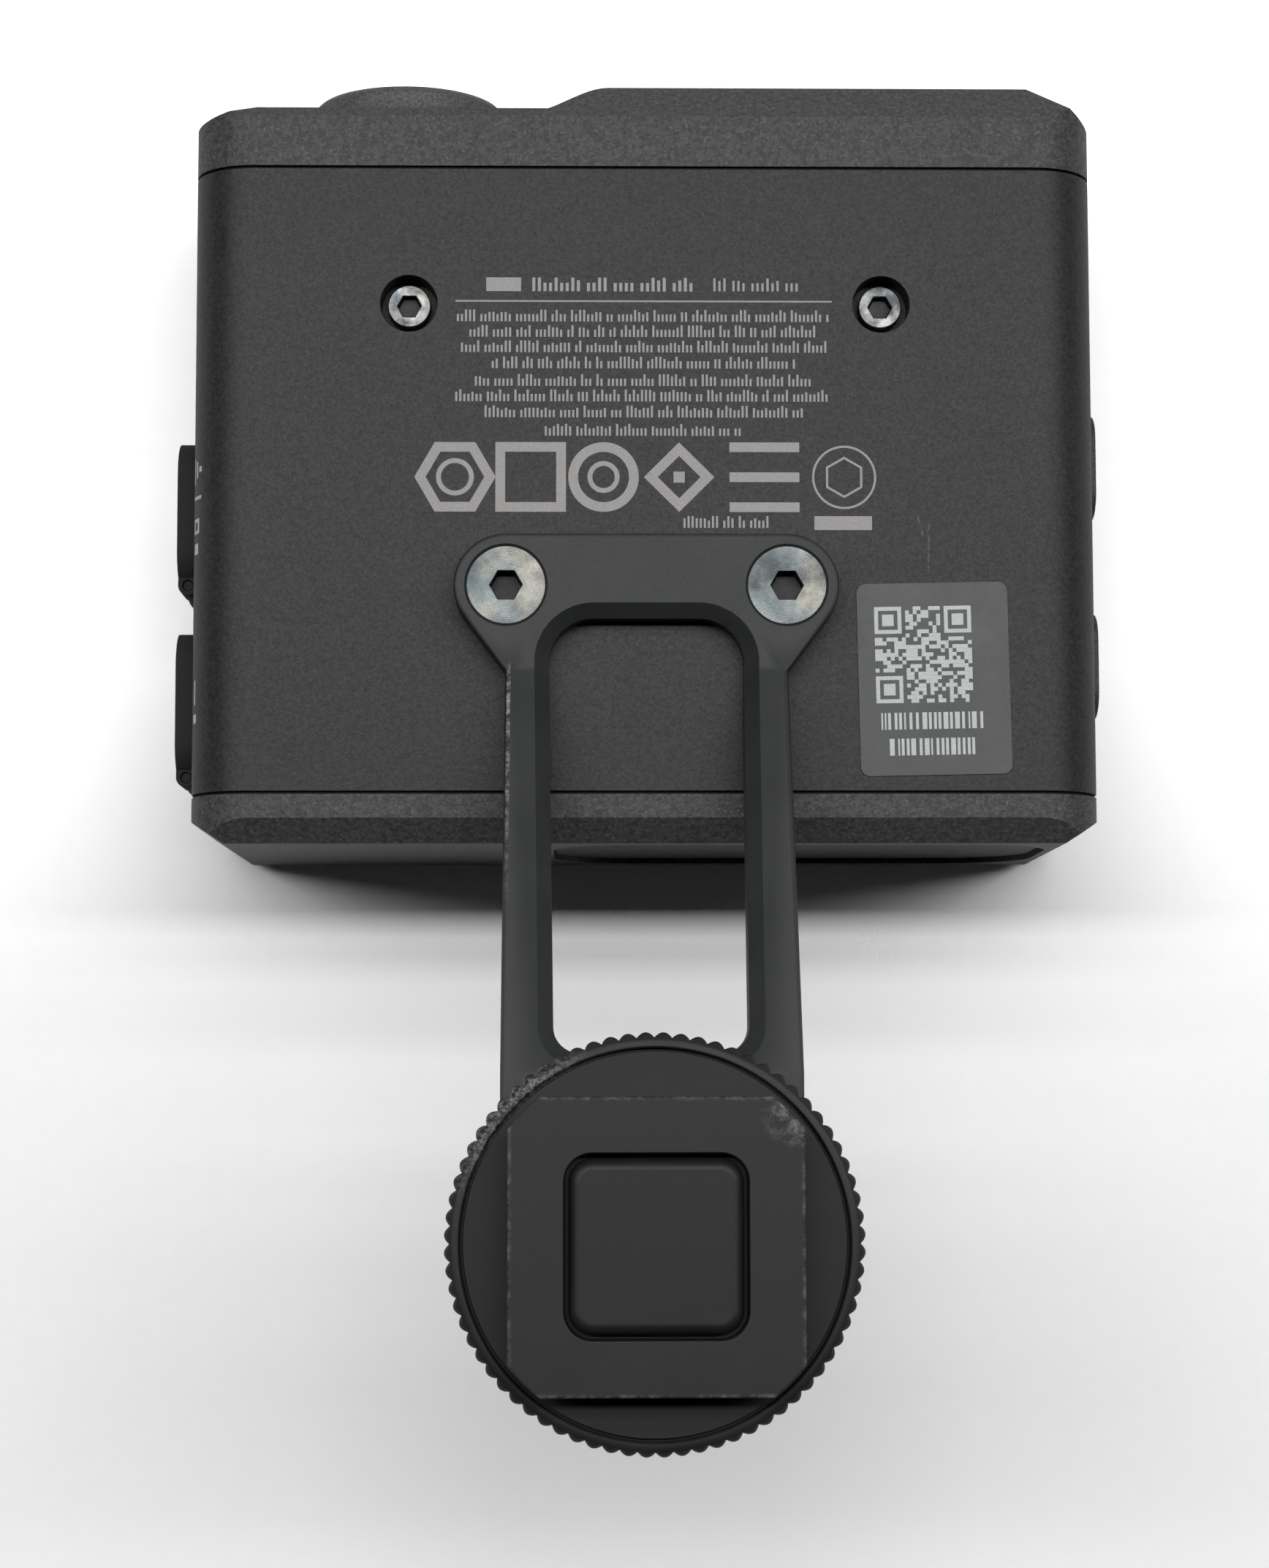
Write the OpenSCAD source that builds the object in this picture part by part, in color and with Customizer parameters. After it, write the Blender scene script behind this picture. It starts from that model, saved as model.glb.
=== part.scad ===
// Laser rangefinder with a bent arm and a clamping shoe foot.
// It lies on its top face at z = 0, with the mounting face up and the lens
// side towards +Y. Each piece is a module of its own, in millimetres.

/* [Housing] */
// Width of the housing, side to side
body_w = 65.2; // [62:0.1:70]
// Height of the housing, resting face to mounting face
body_h = 25.5; // [25:0.1:28]
// Length of the middle housing with its two seals
mid_l = 45.4; // [45:0.1:48]
// Radius of the four long edges
edge_r = 4.5; // [3.5:0.1:5]
// Wall thickness of the three shells
wall = 1.6; // [1.4:0.1:1.8]
// Thickness of each seal, seen as a dark parting line
seal_t = 0.2; // [0.15:0.05:0.3]
// Length of the straight band of the front cover
front_band = 3.7; // [3.5:0.1:4.5]
// Length of the straight band of the rear cover
rear_band = 1.7; // [1.6:0.1:2.5]
// Size of the chamfer round the rear wall
rear_chamfer = 1.7; // [1.2:0.1:2]

/* [Front] */
// Height of the front wall beyond the band
front_step = 0.8; // [0.6:0.1:1]
// Height of the plateau beyond the band, which is also its chamfer
plateau_step = 3.0; // [2.6:0.1:3.4]
// Sideways place of the camera lens
lens_x = -17.6; // [-18.5:0.1:-17]
// Rim radius of the lens ring
lens_rim_r = 7.2; // [7:0.1:7.6]
// Height of the lens ring above the front wall
lens_ring_h = 3.2; // [2.8:0.1:3.6]
// Width of the ranging window
window_w = 27; // [26:0.5:28]
// Height of the ranging window
window_h = 14; // [13:0.5:15]

/* [Arm] */
// Thickness of the arm's plate on the housing
plate_t = 2.8; // [2.6:0.1:3.2]
// Outer width of the arm's two legs
leg_span = 19.9; // [19:0.1:20.5]
// Half width of the opening between the legs at the plate
gap_half = 6.9; // [6.7:0.1:7.1]
// Half width of the opening at the end pad
gap_half_end = 6.5; // [6.3:0.1:6.7]
// Rise of the legs for each millimetre of length
leg_slope = 0.485; // [0.46:0.005:0.5]
// Thickness of the legs, measured upright
leg_t = 4.2; // [4:0.1:4.4]
// Thickness of the end pad under the wheel
pad_t = 3.4; // [3:0.1:3.6]

/* [Shoe foot and wheel] */
// Side of the square foot
foot_w = 18.5; // [18:0.1:18.6]
// Thickness of the foot's plate
foot_t = 2.1; // [2:0.05:2.2]
// Radius that clips the foot's corners
foot_clip_r = 11.75; // [11.5:0.05:12]
// Outer radius of the knurled wheel
wheel_r = 13.34; // [13:0.02:13.6]
// Thickness of the wheel
wheel_t = 4.0; // [3.8:0.1:4.1]
// Number of ridges on the wheel
ridges = 72; // [60:1:80]
// Radius of the stud
stud_r = 4.0; // [3.9:0.05:4.1]

/* [Side pieces] */
// Length of a port cover
cover_l = 11.45; // [11:0.05:11.5]
// Height of a port cover
cover_h = 12; // [11.6:0.1:12.4]
// How far a port cover stands out from the side
cover_out = 1.55; // [1.5:0.01:1.6]
// Length of a button
button_l = 7.8; // [7.4:0.1:8]
// Height of a button
button_h = 10.8; // [10:0.1:11]
// How far a button stands out from its panel
button_out = 1.0; // [0.8:0.1:1.2]

/* [Hidden] */
$fn = 64;
eps = 0.01;

// Key levels of the housing, along Y and Z
mid_z = body_h / 2;
seal_y = mid_l / 2;
mid_y = seal_y - seal_t;
band_y = seal_y + front_band;
front_y = band_y + front_step;
plateau_y = band_y + plateau_step;
rear_band_y = -seal_y - rear_band;
rear_y = rear_band_y - rear_chamfer;
inner_x = body_w / 2 - wall;

// Plateau on the front cover
plateau_x0 = -8.6;
plateau_x1 = -2.6;
corner_dx = 4.6;
window_x = 12.6;
emitter_x = 5;
receiver_x = 18.6;
emitter_r = 4.1;
receiver_r = 5.5;
window_t = 0.8;
holder_back = 19.6;
holder_x0 = -1;
holder_x1 = 25.6;
holder_half_h = 7.6;

// Trim panel in the rear wall
trim_x = 11.4;
trim_w = 36;
trim_h = 19;
trim_r = 6;
trim_seat = 0.9;

// Camera
barrel_r = 5.8;
barrel_back = 17.2;

// Screws: the two arm screws and the two small case screws
arm_screw_x = 9.9;
arm_screw_y = -8.2;
arm_head_r = 2.8;
case_screw_x = 16.95;
case_screw_y = 12.6;
case_head_r = 1.55;
well_r = 2.05;
well_depth = 2.3;
boss_r = 3.4;
chassis_top = 22.0;
chassis_t = 1.8;

// Boards
board_z = 9.9;
board_t = 1.2;
board_posts = [for (x = [-19.5, 19.5], y = [-17, 10]) [x, y]];
post_inset = 4.1;
corner_posts = [for (x = [-1, 1], z = [-1, 1])
    [x * (body_w / 2 - post_inset), mid_z + z * (mid_z - post_inset)]];
post_r = 2.6;
tap_r = 0.8;

// Port covers on the left side and buttons on the right side
cover_starts = [-7.4, -21.55];
cover_gap = 0.1;
axis_in = 0.75;
axis_x = -body_w / 2 - cover_gap - (cover_out - cover_gap) / 2;
barrel_pin_r = 0.35;
port_w = 6.0;
port_h = 10.4;
port_y = 6;
strap_half_h = 1.65;
button_ys = [2.4, -12.45];
button_lip = 0.3;
panel_depth = 0.15;
panel_x = body_w / 2 - panel_depth;

// Arm, foot and wheel
plate_top = body_h + plate_t;
lobe_r = 3.7;
gap_top = -10.45;
gap_end = -41.2;
neck_y = -14.3;
leg_half = leg_span / 2;
wheel_y = -53.3;
pad_top = 42.0;
boss_top = 42.9;
foot_top = 52.5;
foot_bottom = foot_top - foot_t;
wheel_top = 48.8;
wheel_bottom = wheel_top - wheel_t;
recess_r = 12.35;
ridge_depth = 0.32;
valley_r = wheel_r - ridge_depth - 0.04;
rim_bevel = 0.4;
recess_depth = 0.7;
run_gap = 0.06;
key_half = 3.5;
stud_low_r = 3.0;
key_low_half = 2.6;
boss_round_r = 6;
stud_end = 36.2;
window_half = 5.75;
pocket_depth = 1.6;
pad_side = 10.9;
pad_face = 52.4;
pad_thick = 1.05;
stem_r = 1.25;
spring_z = 46.5;

// ---- shared shapes ----

// Rounded rectangle about the origin
module rounded(w, h, r) {
    square([w - 2 * r, h], center = true);
    square([w, h - 2 * r], center = true);
    for (x = [-1, 1], y = [-1, 1])
        translate([x * (w / 2 - r), y * (h / 2 - r)]) circle(r);
}

// Extrusions along Y (outline in X, Z) and along X (outline in Y, Z)
module along_y(y0, y1) {
    translate([0, y1, 0]) rotate([90, 0, 0]) linear_extrude(y1 - y0) children();
}

module along_x(x0, x1) {
    translate([x0, 0, 0]) rotate([90, 0, 90]) linear_extrude(x1 - x0) children();
}

// Rods along the three axes
module rod_y(x, z, y0, y1, r, r_end = -1) {
    translate([x, y0, z]) rotate([-90, 0, 0])
        cylinder(h = y1 - y0, r1 = r, r2 = r_end < 0 ? r : r_end);
}

module rod_x(y, z, x0, x1, r) {
    translate([x0, y, z]) rotate([0, 90, 0]) cylinder(h = x1 - x0, r = r);
}

module rod_z(x, y, z0, z1, r, r_end = -1) {
    translate([x, y, z0]) cylinder(h = z1 - z0, r1 = r, r2 = r_end < 0 ? r : r_end);
}

module block(lo, hi) {
    translate(lo) cube(hi - lo);
}

// Cross-section of the housing, shrunk by inset
module body_section(inset) {
    translate([0, mid_z]) rounded(body_w - 2 * inset, body_h - 2 * inset, edge_r - inset);
}

// Block whose plan view and side view are both given
module plan_and_side(plan, side) {
    intersection() {
        linear_extrude(body_h) polygon(plan);
        along_x(-body_w, body_w) polygon(side);
    }
}

// Socket-head or countersunk screw along Z, head up, from its top level
module screw(top, head_r, head_t, shank_r, length, hex_af, hex_depth, sunk = false) {
    difference() {
        union() {
            translate([0, 0, top - head_t])
                cylinder(h = head_t, r1 = sunk ? shank_r : head_r, r2 = head_r);
            translate([0, 0, top - length]) cylinder(h = length - head_t + eps, r = shank_r);
        }
        translate([0, 0, top - hex_depth])
            cylinder(h = hex_depth + 1, r = hex_af / 2 / cos(30), $fn = 6);
    }
}

// ---- shells and seals ----

// Plan of the plateau: an S-curve up from the front wall, then the sloped end
function smooth(t) = t * t * (3 - 2 * t);
plateau_rise = [for (i = [0:12])
    [plateau_x0 + (plateau_x1 - plateau_x0) * i / 12,
     front_y - 0.5 + (plateau_y - front_y + 0.5) * smooth(i / 12)]];

function side_outline(y_end, chamfer) = [
    [seal_y, 0], [band_y, 0], [y_end, chamfer],
    [y_end, body_h - chamfer], [band_y, body_h], [seal_y, body_h]];

module front_outer() {
    half = body_w / 2;
    intersection() {
        along_y(seal_y, plateau_y) body_section(0);
        union() {
            plan_and_side([[-half, seal_y], [half, seal_y], [half, band_y - 0.2],
                           [half - corner_dx, front_y], [corner_dx - half, front_y],
                           [-half, band_y - 0.2]],
                          side_outline(front_y, front_step));
            plan_and_side(concat([[half, seal_y], [half, band_y - 0.2],
                                  [half - corner_dx, plateau_y]],
                                 [for (i = [12:-1:0]) plateau_rise[i]],
                                 [[plateau_x0, seal_y]]),
                          side_outline(plateau_y, plateau_step));
        }
    }
}

module front_cover() color([0.17, 0.17, 0.175]) difference() {
    union() {
        difference() {
            front_outer();
            along_y(seal_y - 1, front_y - wall) body_section(wall);
            // Pocket behind the plateau
            block([plateau_x1 + 1, seal_y, 4.8], [26.6, plateau_y - wall, body_h - 4.8]);
        }
        for (p = corner_posts) rod_y(p[0], p[1], seal_y, front_y - wall + eps, post_r);
    }
    // Camera opening with a seat for the lens ring
    rod_y(lens_x, mid_z, seal_y, front_y + 1, barrel_r + 0.1);
    rod_y(lens_x, mid_z, front_y - 1, front_y + 3, lens_rim_r - 0.35);
    // Seat of the ranging window and the two light openings behind it
    translate([window_x, 0, mid_z]) along_y(plateau_y - window_t - 0.2, plateau_y + 1)
        rounded(window_w + 0.1, window_h + 0.1, 2.55);
    rod_y(emitter_x, mid_z, seal_y, plateau_y, emitter_r + 0.2);
    rod_y(receiver_x, mid_z, seal_y, plateau_y, receiver_r + 0.2);
    for (p = corner_posts) rod_y(p[0], p[1], seal_y - 1, front_y - wall - 0.4, tap_r);
}

module mid_housing() color([0.13, 0.13, 0.135]) difference() {
    union() {
        along_y(-mid_y, mid_y) difference() {
            body_section(0);
            body_section(wall);
        }
        for (s = [-1, 1])
            rod_z(s * case_screw_x, case_screw_y, chassis_top, body_h - wall + eps, boss_r);
        for (p = board_posts) rod_z(p[0], p[1], wall - eps, board_z, 2);
        for (p = corner_posts) rod_y(p[0], p[1], mid_y - 4, mid_y, post_r);
    }
    for (s = [-1, 1]) {
        rod_z(s * case_screw_x, case_screw_y, body_h - well_depth, body_h + 1, well_r);
        rod_z(s * case_screw_x, case_screw_y, chassis_top - 1, body_h, 1.1);
        rod_z(s * arm_screw_x, arm_screw_y, chassis_top, body_h + 1, 1.65);
    }
    for (p = board_posts) rod_z(p[0], p[1], board_z - 5, board_z + 1, tap_r);
    for (p = corner_posts) rod_y(p[0], p[1], mid_y - 5, mid_y + 1, 1.1);
    // Port openings and strap slots on the left
    for (y = cover_starts) {
        translate([0, y + port_y, mid_z]) along_x(-body_w, -inner_x + 1)
            rounded(port_w, port_h, 1.8);
        block([-body_w, y + axis_in - 0.55, mid_z - strap_half_h - 0.1],
              [-inner_x + 1, y + axis_in + 0.55, mid_z + strap_half_h + 0.1]);
    }
    // Shallow panel and button openings on the right
    block([panel_x, -17.4, 4.2], [body_w, 8, body_h - 4.2]);
    for (y = button_ys) translate([0, y, mid_z]) along_x(inner_x - 1, body_w)
        rounded(button_l + 0.3, button_h + 0.3, 2.15);
}

module rear_outer() {
    half = body_w / 2;
    intersection() {
        along_y(rear_y, -seal_y) body_section(0);
        plan_and_side([[-half, -seal_y], [half, -seal_y], [half, rear_band_y],
                       [half - 2.6, rear_y], [2.6 - half, rear_y], [-half, rear_band_y]],
                      [[-seal_y, 0], [rear_band_y, 0], [rear_y, rear_chamfer],
                       [rear_y, body_h - rear_chamfer], [rear_band_y, body_h], [-seal_y, body_h]]);
    }
}

module rear_cover() color([0.17, 0.17, 0.175]) difference() {
    union() {
        difference() {
            rear_outer();
            along_y(rear_y + wall, 0) body_section(wall);
        }
        // Snap hooks that reach into the middle housing
        for (x = [-18, 18], s = [-1, 1]) translate([x, 0, mid_z + s * (mid_z - wall - 0.75)])
            block([-3, rear_y + wall - eps, -0.6], [3, -mid_y + 2, 0.6]);
    }
    translate([trim_x, 0, mid_z]) along_y(rear_y - 1, rear_y + trim_seat) rounded(trim_w, trim_h, trim_r);
}

module rear_trim() color([0.1, 0.1, 0.105]) translate([trim_x, 0, mid_z])
    along_y(rear_y + 0.4, rear_y + trim_seat) rounded(trim_w - 0.1, trim_h - 0.1, trim_r - 0.05);

module seal(y0) along_y(y0, y0 + seal_t) difference() {
    body_section(0.35);
    body_section(wall);
}

module front_seal() color([0.05, 0.05, 0.05]) seal(mid_y);

module rear_seal() color([0.05, 0.05, 0.05]) seal(-seal_y);

// ---- camera ----

// Flared ring: a concave flank runs from the front wall up to the rim
module lens_ring() color([0.15, 0.15, 0.155])
    translate([lens_x, front_y, mid_z]) rotate([-90, 0, 0]) {
        flare = 1.3;
        flank = [for (a = [0:10:90])
            [lens_rim_r + flare * (1 - sin(a)), (lens_ring_h - 0.7) * (1 - cos(a))]];
        difference() {
            union() {
                rotate_extrude($fn = 96) polygon(concat([[0, 0]], flank,
                    [[lens_rim_r, lens_ring_h - 0.4], [lens_rim_r - 0.4, lens_ring_h], [0, lens_ring_h]]));
                translate([0, 0, -1]) cylinder(h = 1 + eps, r = lens_rim_r - 0.4);
            }
            translate([0, 0, -2]) cylinder(h = lens_ring_h + 4, r = barrel_r + 0.1);
        }
    }

module camera_barrel() color([0.07, 0.07, 0.075]) difference() {
    rod_y(lens_x, mid_z, barrel_back, front_y + 1.4, barrel_r);
    rod_y(lens_x, mid_z, front_y - 0.6, front_y + 2, 4.6, 5.4);
    rod_y(lens_x, mid_z, front_y - 2, front_y + 1, 4.6);
    rod_y(lens_x, mid_z, barrel_back + 1.5, front_y, 2.6);
}

module camera_lens() color([0.12, 0.14, 0.2]) translate([lens_x, 0, mid_z]) intersection() {
    translate([0, front_y - 8.4, 0]) sphere(9, $fn = 96);
    rod_y(0, 0, front_y - 1.95, front_y + 2, 4.5);
}

module camera_board() color([0.05, 0.2, 0.12])
    block([lens_x - 7.5, barrel_back - 1.2, mid_z - 7.5], [lens_x + 7.5, barrel_back, mid_z + 7.5]);

// ---- ranging unit ----

module lidar_window() color([0.03, 0.03, 0.035]) translate([window_x, 0, mid_z])
    along_y(plateau_y - 0.2 - window_t, plateau_y - 0.2) rounded(window_w, window_h, 2.5);

module lidar_holder() color([0.1, 0.1, 0.1]) difference() {
    block([holder_x0, holder_back, mid_z - holder_half_h],
          [holder_x1, plateau_y - wall - 0.1, mid_z + holder_half_h]);
    for (l = [[emitter_x, emitter_r], [receiver_x, receiver_r]]) {
        rod_y(l[0], mid_z, holder_back - 1, plateau_y, l[1] - 0.9);
        rod_y(l[0], mid_z, plateau_y - wall - 3, plateau_y, l[1] + 0.05);
    }
}

// Plano-convex lens seated in the holder
module front_lens(x, r) translate([x, 0, mid_z]) intersection() {
    translate([0, plateau_y - wall - 0.4 - 2 * r, 0]) sphere(2 * r, $fn = 96);
    rod_y(0, 0, plateau_y - wall - 2.9, plateau_y, r);
}

module emitter_lens() color([0.25, 0.1, 0.12]) front_lens(emitter_x, emitter_r);

module receiver_lens() color([0.1, 0.16, 0.25]) front_lens(receiver_x, receiver_r);

module rangefinder_board() color([0.05, 0.2, 0.12])
    block([holder_x0, holder_back - board_t, mid_z - holder_half_h],
          [holder_x1, holder_back, mid_z + holder_half_h]);

// ---- inner frame and boards ----

module chassis_plate() color([0.6, 0.6, 0.62]) difference() {
    union() {
        block([-24, -20, chassis_top - chassis_t], [24, 15.5, chassis_top]);
        for (s = [-1, 1]) rod_z(s * arm_screw_x, arm_screw_y, chassis_top - eps, body_h - wall, 4);
    }
    for (s = [-1, 1]) {
        rod_z(s * arm_screw_x, arm_screw_y, 0, body_h, 1.5);
        rod_z(s * case_screw_x, case_screw_y, 0, body_h, 1.0);
    }
}

module main_board() color([0.05, 0.2, 0.12]) difference() {
    block([-23, -21, board_z], [25.4, 14, board_z + board_t]);
    for (p = board_posts) rod_z(p[0], p[1], 0, body_h, 1.1);
}

module board_shield() color([0.7, 0.7, 0.7])
    block([-9, -14, board_z + board_t], [13, 4, board_z + board_t + 2.4]);

module board_screws() color("silver") for (p = board_posts) translate([p[0], p[1], 0])
    screw(board_z + board_t + 1.2, 1.7, 1.2, 0.75, 6.2, 1.2, 0.7);

module port_board() color([0.05, 0.2, 0.12])
    block([-24.8, -21.5, mid_z - 7.5], [-23.6, 5.5, mid_z + 6.5]);

module port_sockets() color([0.75, 0.75, 0.76]) for (y = cover_starts)
    translate([0, y + port_y, mid_z]) along_x(-body_w / 2 + 1.3, -24.8) difference() {
        rounded(3.3, 9, 1.5);
        rounded(2.5, 8.2, 1.1);
    }

module side_board() color([0.05, 0.2, 0.12]) block([26.2, -18, 6], [27, 8, 19.5]);

module button_switches() color([0.8, 0.8, 0.8]) for (y = button_ys) {
    block([27, y - 2.6, mid_z - 2.6], [28.5, y + 2.6, mid_z + 2.6]);
    rod_x(y, mid_z, 28.5 - eps, 29, 1.2);
}

module cover_screws() color("silver") for (p = corner_posts)
    translate([p[0], mid_y - 4, p[1]]) rotate([90, 0, 0]) screw(1.4, 1.8, 1.4, 0.75, 8, 1.5, 0.8);

// ---- left side: port covers ----

// Cover that turns on the round root of its strap
module port_cover(y0) {
    outer = -body_w / 2 - cover_out;
    inner = -body_w / 2 - cover_gap;
    axis_y = y0 + axis_in;
    difference() {
        union() {
            translate([0, y0 + cover_l / 2 + axis_in / 2, mid_z])
                along_x(outer, inner) rounded(cover_l - axis_in, cover_h, 2.6);
            block([outer, axis_y, mid_z - cover_h / 2 + 1], [inner, axis_y + 4, mid_z + cover_h / 2 - 1]);
            rod_z(axis_x, axis_y, mid_z - cover_h / 2 + 1, mid_z + cover_h / 2 - 1, (outer - inner) / -2);
            // Plug lip that fits the port opening
            translate([0, y0 + port_y, mid_z]) along_x(inner - eps, inner + 1.2) difference() {
                rounded(port_w - 0.8, port_h - 0.8, 1.4);
                rounded(port_w - 2.4, port_h - 2.4, 0.6);
            }
        }
        block([outer - 1, axis_y - 1, mid_z - strap_half_h - 0.15],
              [inner + 0.05, axis_y + 1.1, mid_z + strap_half_h + 0.15]);
        rod_z(axis_x, axis_y, 0, body_h, barrel_pin_r + 0.05);
    }
}

module port_cover_front() color([0.08, 0.08, 0.08]) port_cover(cover_starts[0]);

module port_cover_rear() color([0.08, 0.08, 0.08]) port_cover(cover_starts[1]);

module cover_straps() color([0.07, 0.07, 0.07]) for (y0 = cover_starts) {
    y = y0 + axis_in;
    rod_z(axis_x, y, mid_z - strap_half_h, mid_z + strap_half_h, 0.65);
    rod_z(axis_x, y, mid_z - cover_h / 2 + 1.2, mid_z + cover_h / 2 - 1.2, barrel_pin_r);
    block([axis_x, y - 0.45, mid_z - strap_half_h], [-inner_x + 0.5, y + 0.45, mid_z + strap_half_h]);
    block([-inner_x + 0.05, y - 1.3, mid_z - 2.2], [-inner_x + 0.7, y + 1.3, mid_z + 2.2]);
}

// ---- right side: buttons ----

module button(y) translate([0, y, mid_z]) {
    outer = panel_x + button_out;
    along_x(inner_x - 0.25, outer - button_lip) rounded(button_l, button_h, 2);
    along_x(outer - button_lip - eps, outer) difference() {
        rounded(button_l, button_h, 2);
        rounded(button_l - 1.4, button_h - 1.4, 1.4);
    }
    along_x(inner_x - 1.0, inner_x - 0.2) rounded(button_l + 1.4, button_h + 1.4, 2.4);
    rod_x(0, 0, 29.5, inner_x - 0.9, 1.5);
}

module button_front() color([0.09, 0.09, 0.09]) button(button_ys[0]);

module button_rear() color([0.09, 0.09, 0.09]) button(button_ys[1]);

// ---- mounting face ----

module label_sticker() color([0.3, 0.31, 0.32]) translate([20.5, -14.5, body_h]) rotate(1.1)
    linear_extrude(0.1) rounded(10.8, 13.8, 0.7);

module case_screws() color([0.6, 0.6, 0.6]) for (s = [-1, 1])
    translate([s * case_screw_x, case_screw_y, 0])
        screw(body_h - well_depth + 1.4, case_head_r, 1.4, 0.95, 7.5, 1.5, 0.9);

module arm_screws() color([0.55, 0.56, 0.6]) for (s = [-1, 1])
    translate([s * arm_screw_x, arm_screw_y, 0])
        screw(plate_top - 0.1, arm_head_r, 1.5, 1.45, 7.6, 2, 1.4, sunk = true);

// ---- arm ----

// Plan of the arm: lobes round the screws, tapering to the legs, and the end pad
module arm_plan() {
    reach = arm_screw_y - neck_y;
    lean = acos(lobe_r / reach);
    tangent = [arm_screw_x + lobe_r * sin(lean), arm_screw_y - lobe_r * cos(lean)];
    difference() {
        union() {
            for (s = [-1, 1]) {
                translate([s * arm_screw_x, arm_screw_y]) circle(lobe_r);
                polygon([[0, arm_screw_y + lobe_r], [s * arm_screw_x, arm_screw_y + lobe_r],
                         [s * arm_screw_x, arm_screw_y], [s * tangent[0], tangent[1]],
                         [s * leg_half, neck_y], [s * leg_half, wheel_y], [0, wheel_y]]);
            }
            translate([0, wheel_y]) circle(leg_half);
        }
        // The U opening: 3.2 mm corners at the plate, 1.8 mm corners at the pad
        polygon([[-gap_half, gap_top - 3.2], [gap_half, gap_top - 3.2],
                 [gap_half_end, gap_end + 1.8], [-gap_half_end, gap_end + 1.8]]);
        gap_corners(gap_top - 3.2, gap_half, 3.2);
        gap_corners(gap_end + 1.8, gap_half_end, 1.8);
    }
}

module gap_corners(y, half, r) {
    for (s = [-1, 1]) translate([s * (half - r), y]) circle(r);
    translate([0, y]) square([2 * (half - r), 2 * r], center = true);
}

module arm() color([0.06, 0.06, 0.065]) {
    slope_len = (pad_top - plate_top) / leg_slope;
    under_y = neck_y - (plate_t - leg_t) / -leg_slope;
    under_end = under_y - (pad_top - pad_t - body_h) / leg_slope;
    difference() {
        union() {
            intersection() {
                translate([0, 0, body_h]) linear_extrude(pad_top - body_h) arm_plan();
                along_x(-20, 20) polygon([
                    [0, body_h], [0, plate_top], [neck_y, plate_top],
                    [neck_y - slope_len, pad_top], [wheel_y - 20, pad_top],
                    [wheel_y - 20, pad_top - pad_t], [under_end, pad_top - pad_t], [under_y, body_h]]);
            }
            rod_z(0, wheel_y, pad_top - eps, boss_top, boss_round_r);
        }
        for (s = [-1, 1]) translate([s * arm_screw_x, arm_screw_y, 0]) {
            translate([0, 0, body_h - 1]) cylinder(h = 4, r = 1.6);
            translate([0, 0, plate_top - 1.7]) cylinder(h = 1.7 + eps, r1 = 1.6, r2 = arm_head_r + 0.15);
        }
        keyed_stud(pad_top - pad_t - 1, boss_top + 1, stud_low_r + 0.03, key_low_half + 0.03);
    }
}

// ---- shoe foot, wheel and pad ----

// Round stud with two flats
module keyed_stud(z0, z1, r, half) intersection() {
    rod_z(0, wheel_y, z0, z1, r);
    block([-r - 1, wheel_y - half, z0], [r + 1, wheel_y + half, z1]);
}

module shoe_foot() color([0.06, 0.06, 0.065]) difference() {
    union() {
        intersection() {
            translate([0, wheel_y, foot_bottom + foot_t / 2]) cube([foot_w, foot_w, foot_t], center = true);
            rod_z(0, wheel_y, foot_bottom, foot_top, foot_clip_r);
        }
        keyed_stud(boss_top, foot_bottom + eps, stud_r, key_half);
        keyed_stud(stud_end, boss_top + eps, stud_low_r, key_low_half);
    }
    // Window for the pad, well for its spring and bore for its stem
    translate([0, wheel_y, foot_top - pocket_depth]) linear_extrude(pocket_depth + 1)
        rounded(2 * window_half, 2 * window_half, 1.75);
    rod_z(0, wheel_y, spring_z, foot_top, 2.8);
    rod_z(0, wheel_y, stud_end - 1, foot_top, stem_r + 0.05);
}

module stud_nut() color([0.45, 0.45, 0.47]) difference() {
    translate([0, wheel_y, pad_top - pad_t - 2.2]) cylinder(h = 2.2, r = 4.5 / cos(30), $fn = 6);
    rod_z(0, wheel_y, 30, pad_top, stud_low_r + 0.02);
}

module pressure_disc() color([0.05, 0.05, 0.055]) difference() {
    rod_z(0, wheel_y, wheel_top - recess_depth + 0.05, wheel_top - 0.2, recess_r - 0.2);
    keyed_stud(wheel_bottom, wheel_top + 1, stud_r + run_gap, key_half + run_gap);
}

// Ridged rim: each ridge is a rounded wave
module ridged_outline() polygon([for (i = [0:ridges * 6 - 1])
    let (a = i * 60 / ridges, r = wheel_r - ridge_depth / 2 * (1 - cos(a * ridges)))
    [r * cos(a), r * sin(a)]]);

module clamp_wheel() color([0.07, 0.07, 0.075]) translate([0, wheel_y, wheel_bottom]) difference() {
    union() {
        translate([0, 0, rim_bevel]) linear_extrude(wheel_t - 2 * rim_bevel) ridged_outline();
        // Plain bevelled ends, just inside the valleys between the ridges
        rotate_extrude($fn = 128) polygon([[0, 0], [valley_r - rim_bevel, 0], [valley_r, rim_bevel],
            [valley_r, wheel_t - rim_bevel], [valley_r - rim_bevel, wheel_t], [0, wheel_t]]);
    }
    translate([0, 0, wheel_t - recess_depth]) cylinder(h = 2, r = recess_r, $fn = 128);
    translate([0, 0, -1]) cylinder(h = wheel_t + 2, r = stud_r + run_gap);
    // Shallow relief round the hub on the arm's side
    translate([0, 0, -1]) difference() {
        cylinder(h = 1.5, r = 11.4, $fn = 128);
        cylinder(h = 1.6, r = 6.4);
    }
}

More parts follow.
